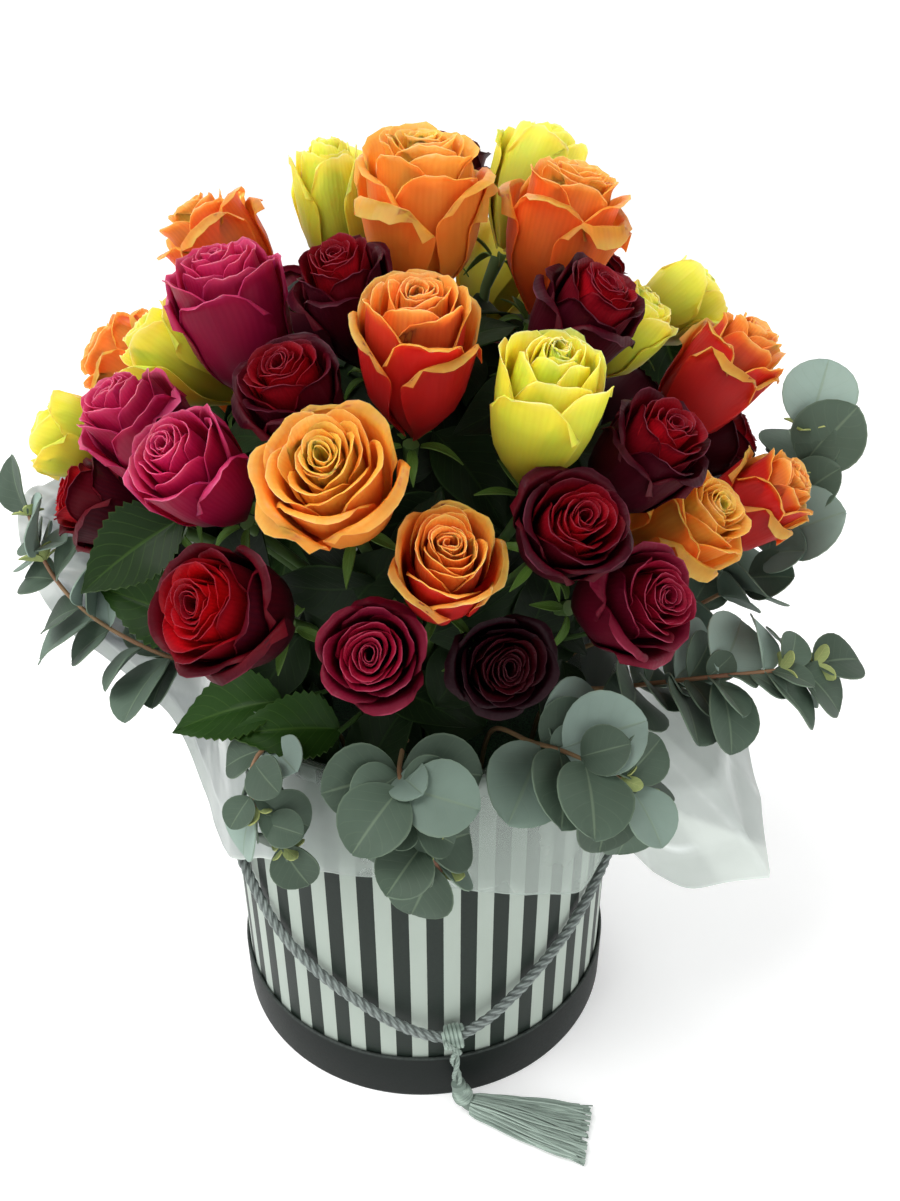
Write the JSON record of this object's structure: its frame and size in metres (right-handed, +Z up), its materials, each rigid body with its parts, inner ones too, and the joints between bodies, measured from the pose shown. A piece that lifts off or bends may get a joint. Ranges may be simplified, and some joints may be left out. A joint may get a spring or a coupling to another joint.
{
  "type": "flower hat box",
  "caption": "Round striped card box in its own lid, filled with a dome of roses and eucalyptus, with a frosted film skirt, a twisted cord and a tassel.",
  "frame": {"origin": "centre of the base lid's underside, where the arrangement rests", "axes": "+Z up, -Y towards the front, where the cord hangs and the tassel lies; +X to the viewer's right"},
  "size_m": [0.3717, 0.2988, 0.4204],
  "materials": {
    "dark_card": "dark wrapped card, matt",
    "striped_card": "pale grey-green paper with dark upright stripes, satin",
    "frosted_film": "translucent frosted film",
    "wet_foam": "dark green wet flower foam",
    "grey_cord": "twisted satin cord",
    "grey_knot": "twisted satin cord",
    "sage_threads": "fine loose threads",
    "green_stems": "green stems, sepals and leaves, slightly waxy",
    "petals_yellow": "soft petals",
    "petals_orange": "soft petals",
    "petals_bicolour": "soft petals",
    "petals_burgundy": "soft velvet petals",
    "petals_magenta": "soft petals",
    "petals_crimson": "soft petals",
    "eucalyptus_green": "blue-green leaves with a waxy bloom"
  },
  "bodies": {
    "root": {"base_lid": "dark_card", "hat_box": "striped_card", "film_wrap": "frosted_film", "floral_foam": "wet_foam", "carry_cord": "grey_cord", "cord_knot_left": "grey_knot", "cord_knot_right": "grey_knot", "tassel": "sage_threads", "rose_stems": "green_stems", "rose_01_yellow": "petals_yellow", "rose_02_burgundy": "petals_burgundy", "rose_03_orange": "petals_orange", "rose_04_yellow": "petals_yellow", "rose_05_orange": "petals_orange", "rose_06_burgundy": "petals_burgundy", "rose_07_burgundy": "petals_burgundy", "rose_08_yellow": "petals_yellow", "rose_09_yellow": "petals_yellow", "rose_10_bicolour": "petals_bicolour", "rose_11_orange": "petals_orange", "rose_12_magenta": "petals_magenta", "rose_13_burgundy": "petals_burgundy", "rose_14_bicolour": "petals_bicolour", "rose_15_yellow": "petals_yellow", "rose_16_burgundy": "petals_burgundy", "rose_17_burgundy": "petals_burgundy", "rose_18_bicolour": "petals_bicolour", "rose_19_orange": "petals_orange", "rose_20_burgundy": "petals_burgundy", "rose_21_magenta": "petals_magenta", "rose_22_yellow": "petals_yellow", "rose_23_yellow": "petals_yellow", "rose_24_orange": "petals_orange", "rose_25_burgundy": "petals_burgundy", "rose_26_burgundy": "petals_burgundy", "rose_27_magenta": "petals_magenta", "rose_28_orange": "petals_orange", "rose_29_bicolour": "petals_bicolour", "rose_30_burgundy": "petals_burgundy", "rose_31_burgundy": "petals_burgundy", "rose_32_crimson": "petals_crimson", "rose_33_burgundy": "petals_burgundy", "rose_34_crimson": "petals_crimson", "rose_35_orange": "petals_orange", "rose_36_magenta": "petals_magenta", "rose_37_burgundy": "petals_burgundy", "rose_38_yellow": "petals_yellow", "rose_39_bicolour": "petals_bicolour", "rose_40_crimson": "petals_crimson", "rose_41_burgundy": "petals_burgundy", "rose_42_orange": "petals_orange", "rose_43_yellow": "petals_yellow", "eucalyptus_front_left": "eucalyptus_green", "eucalyptus_front": "eucalyptus_green", "eucalyptus_front_right": "eucalyptus_green", "eucalyptus_right_low": "eucalyptus_green", "eucalyptus_right_high": "eucalyptus_green", "eucalyptus_left": "eucalyptus_green", "eucalyptus_back_left": "eucalyptus_green", "eucalyptus_back_right": "eucalyptus_green"}
  },
  "joints": []
}
